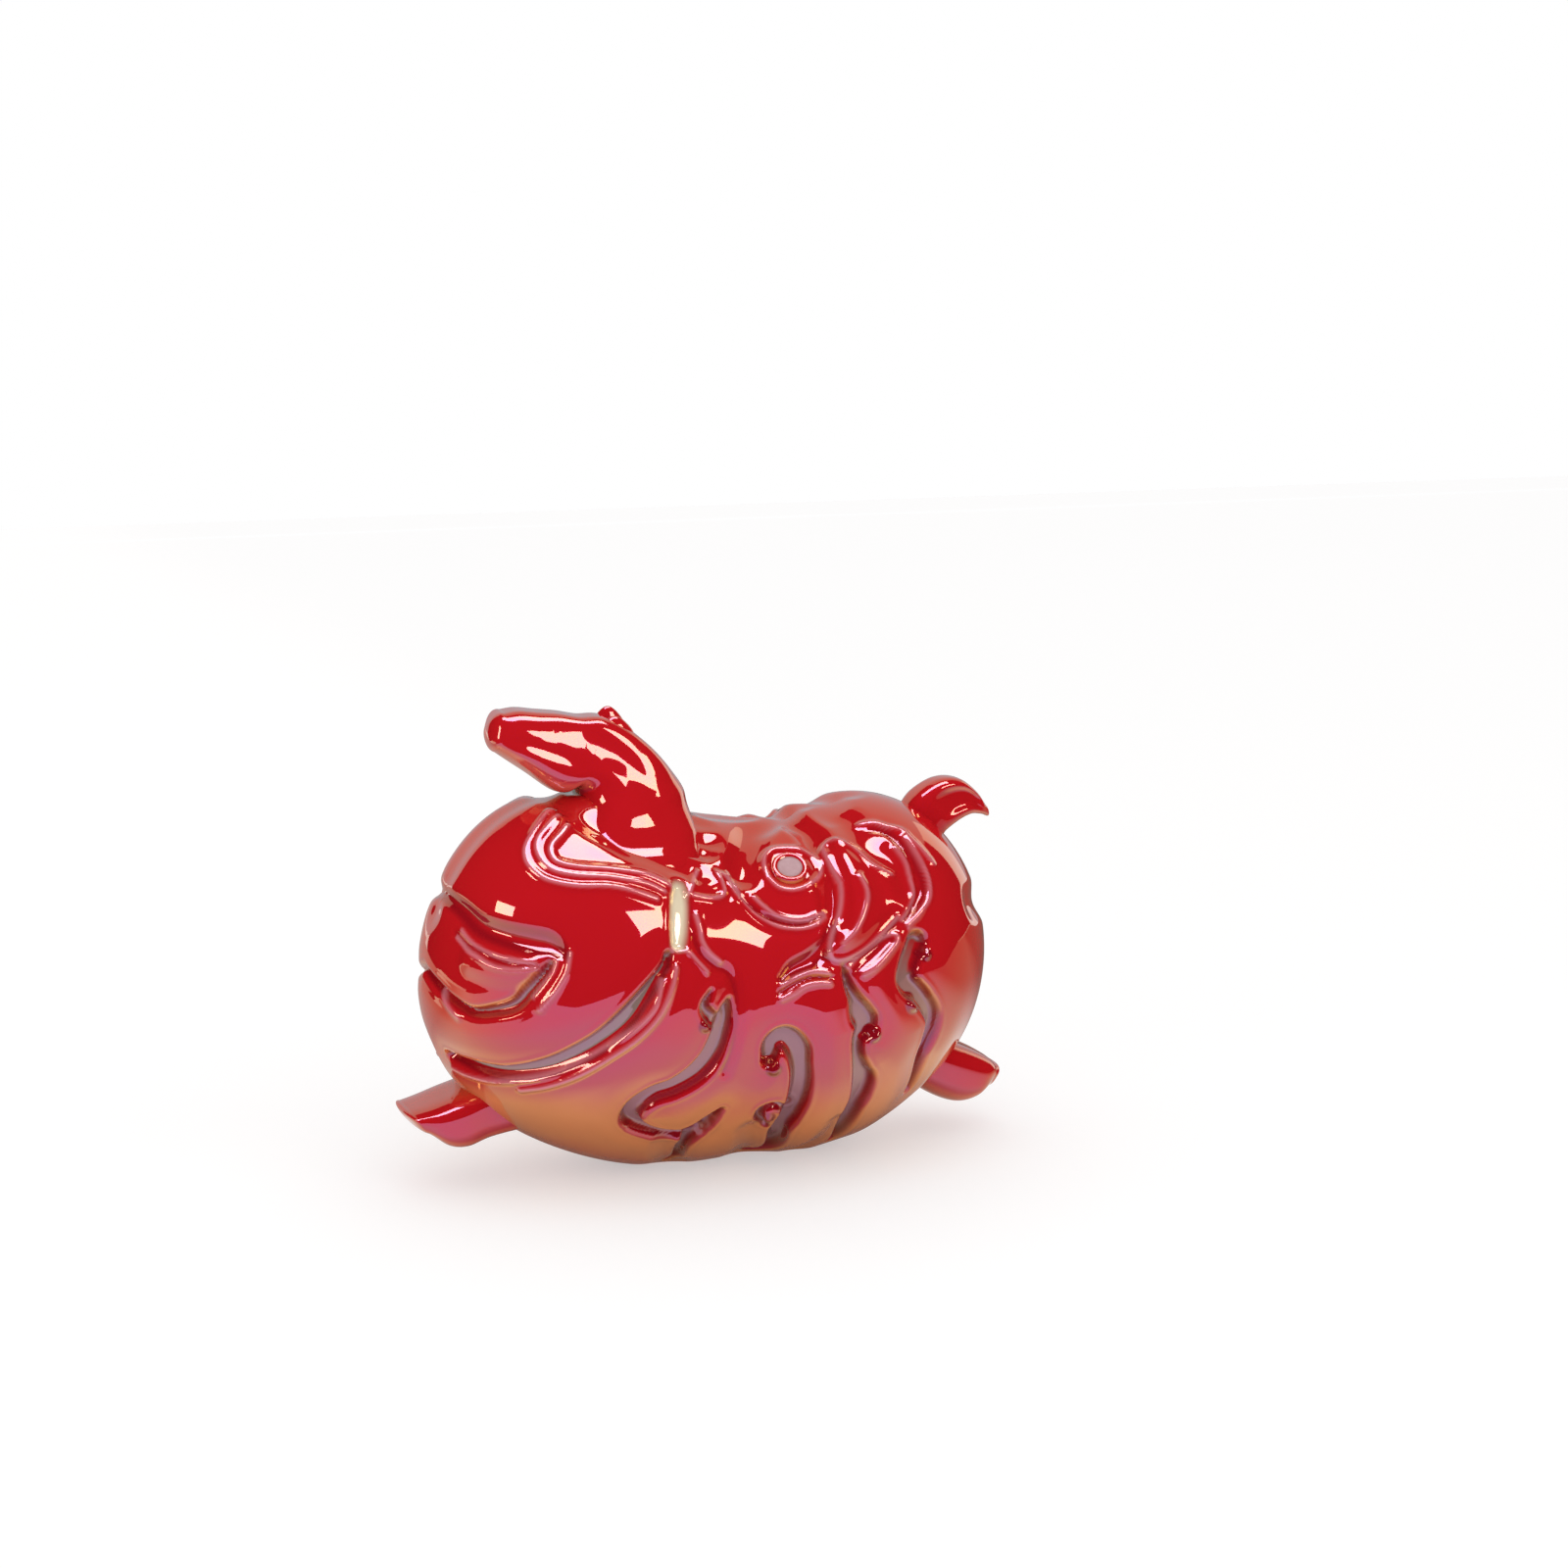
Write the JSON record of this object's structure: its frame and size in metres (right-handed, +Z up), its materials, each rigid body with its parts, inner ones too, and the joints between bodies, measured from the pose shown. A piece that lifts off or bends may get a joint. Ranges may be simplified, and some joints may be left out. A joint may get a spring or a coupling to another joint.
{
  "type": "horse figurine",
  "caption": "Plump crouching horse figurine in glossy red-glazed ceramic, with a carved hollow barrel, a raised head, short ears, a curled tail and broad feet.",
  "frame": {"origin": "on the ground, under the middle of the length from the front toe to the tail's tip, in the middle plane of the barrel", "axes": "-X where the head looks, -Y the horse's left flank with the bare button, +Z up from the flat foot under the belly"},
  "size_m": [0.2318, 0.12, 0.1692],
  "materials": {
    "body_left_half": "high gloss glaze",
    "body_right_half": "high gloss glaze",
    "head_and_neck": "high gloss glaze",
    "ear_left": "high gloss glaze",
    "ear_right": "high gloss glaze",
    "tail": "high gloss glaze",
    "foot_front": "high gloss glaze",
    "foot_rear": "high gloss glaze",
    "flank_button": "high gloss glaze"
  },
  "bodies": {
    "root": {"body_left_half": "body_left_half", "body_right_half": "body_right_half", "head_and_neck": "head_and_neck", "ear_left": "ear_left", "ear_right": "ear_right", "tail": "tail", "foot_front": "foot_front", "foot_rear": "foot_rear", "flank_button": "flank_button"}
  },
  "joints": []
}
